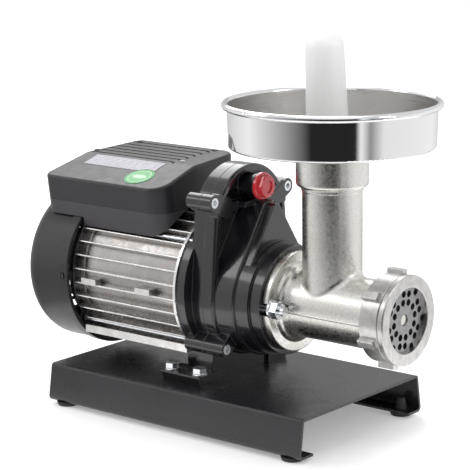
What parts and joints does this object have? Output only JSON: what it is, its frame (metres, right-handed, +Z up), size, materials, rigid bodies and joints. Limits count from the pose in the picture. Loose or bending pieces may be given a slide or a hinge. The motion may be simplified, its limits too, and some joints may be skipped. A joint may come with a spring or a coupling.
{
  "type": "electric meat grinder",
  "caption": "Bench-top electric meat grinder: finned motor, black gear case, cast grinding head with ring nut and cutting plate, steel hopper pan, white pusher, sheet-steel base.",
  "frame": {"origin": "on the surface that the rubber feet stand on, under the middle of the machine's overall box", "axes": "+X along the motor and barrel towards the cutting plate, +Y towards the back, where the switch is, +Z up"},
  "size_m": [0.452, 0.2134, 0.3966],
  "materials": {
    "base_paint": "satin black powder coat",
    "rubber": "matt black rubber",
    "zinc": "bright zinc plate",
    "motor_aluminium": "bright die-cast",
    "lamination": "laminated electrical steel",
    "copper": "enamelled copper",
    "shaft_steel": "ground steel",
    "bearing_steel": "polished bearing steel",
    "gear_steel": "hobbed gear steel",
    "case_paint": "glossy black enamel on a casting",
    "fan_plastic": "black nylon",
    "cowl_plastic": "satin black plastic",
    "box_plastic": "fine-grained black plastic",
    "switch_plastic": "black plastic",
    "rocker_plastic": "glossy green rocker",
    "capacitor_plastic": "grey-white can",
    "gasket": "compressed fibre",
    "red_plastic": "glossy red",
    "bronze": "sintered bronze",
    "tinned_iron": "tinned casting",
    "ring_steel": "satin turned steel",
    "auger_iron": "tinned casting, turned bright at the pin",
    "knife_steel": "ground tool steel",
    "plate_steel": "ground steel",
    "stainless": "mirror-polished stainless",
    "white_plastic": "translucent white",
    "label_film": "printed film",
    "sticker_film": "printed film"
  },
  "bodies": {
    "machine": {"base_plate": "base_paint", "rubber_feet": "rubber", "foot_bolts": "zinc", "foot_washers": "zinc", "foot_nuts": "zinc", "stator_housing": "motor_aluminium", "stator_core": "lamination", "stator_windings": "copper", "front_bearing": "bearing_steel", "rear_bearing": "bearing_steel", "rear_end_shield": "case_paint", "tie_rods": "zinc", "fan_cover": "cowl_plastic", "fan_cover_screws": "zinc", "gearbox_rear_housing": "case_paint", "gearbox_gasket": "gasket", "gearbox_front_cover": "case_paint", "cover_screws": "zinc", "plug_seal": "rubber", "oil_filler_plug": "red_plastic", "countershaft_bearings": "bearing_steel", "output_bearings": "bearing_steel", "bearing_spacer": "shaft_steel", "output_seal": "rubber", "grinder_body": "tinned_iron", "clamp_studs": "zinc", "clamp_washers": "zinc", "clamp_nuts": "zinc", "auger_bush": "bronze", "thrust_washer": "bronze", "plate_key": "knife_steel", "control_box_base": "box_plastic", "control_box_cover": "box_plastic", "box_screws": "zinc", "rating_label": "label_film", "inspection_sticker": "sticker_film", "switch_frame": "switch_plastic", "cable_gland": "switch_plastic", "capacitor": "capacitor_plastic", "terminal_block": "white_plastic"},
    "rotor": {"motor_shaft": "shaft_steel", "rotor_core": "lamination", "cooling_fan": "fan_plastic", "motor_pinion": "gear_steel"},
    "counter_shaft": {"countershaft": "gear_steel", "intermediate_gear": "gear_steel"},
    "output": {"output_shaft": "shaft_steel", "output_gear": "gear_steel", "gear_key": "shaft_steel", "auger": "auger_iron", "knife": "knife_steel"},
    "plate": {"cutting_plate": "plate_steel"},
    "ring": {"ring_nut": "ring_steel"},
    "hopper": {"hopper_pan": "stainless", "hopper_neck": "stainless"},
    "pusher": {"pusher": "white_plastic"},
    "rocker": {"rocker_switch": "rocker_plastic"}
  },
  "joints": [
    {"name": "rotor_spin", "type": "hinge", "parent": "machine", "child": "rotor", "pos_m": [-0.08895, 0, 0.1345], "axis": [1, 0, 0], "continuous": true},
    {"name": "countershaft_spin", "type": "hinge", "parent": "machine", "child": "counter_shaft", "pos_m": [0.01105, 0, 0.1945], "axis": [1, 0, 0], "continuous": true},
    {"name": "output_spin", "type": "hinge", "parent": "machine", "child": "output", "pos_m": [0.05105, 0, 0.128], "axis": [1, 0, 0], "continuous": true},
    {"name": "plate_slide", "type": "slide", "parent": "machine", "child": "plate", "axis": [1, 0, 0], "range_m": [0, 0.02]},
    {"name": "ring_turn", "type": "hinge", "parent": "plate", "child": "ring", "pos_m": [0.19605, 0, 0.128], "axis": [1, 0, 0], "range_deg": [0, 1800]},
    {"name": "hopper_lift", "type": "slide", "parent": "machine", "child": "hopper", "axis": [0, 0, 1], "range_m": [0, 0.024]},
    {"name": "pusher_slide", "type": "slide", "parent": "machine", "child": "pusher", "axis": [0, 0, 1], "range_m": [-0.028, 0.214]},
    {"name": "switch_rock", "type": "hinge", "parent": "machine", "child": "rocker", "pos_m": [-0.10995, 0.0625, 0.23], "axis": [1, 0, 0], "range_deg": [0, 20]}
  ],
  "couplings": [
    {"joint": "countershaft_spin", "follows": "rotor_spin", "ratio": -0.2},
    {"joint": "output_spin", "follows": "rotor_spin", "ratio": 0.066667},
    {"joint": "plate_slide", "follows": "ring_turn", "m_per_rad": 0.0006366}
  ]
}
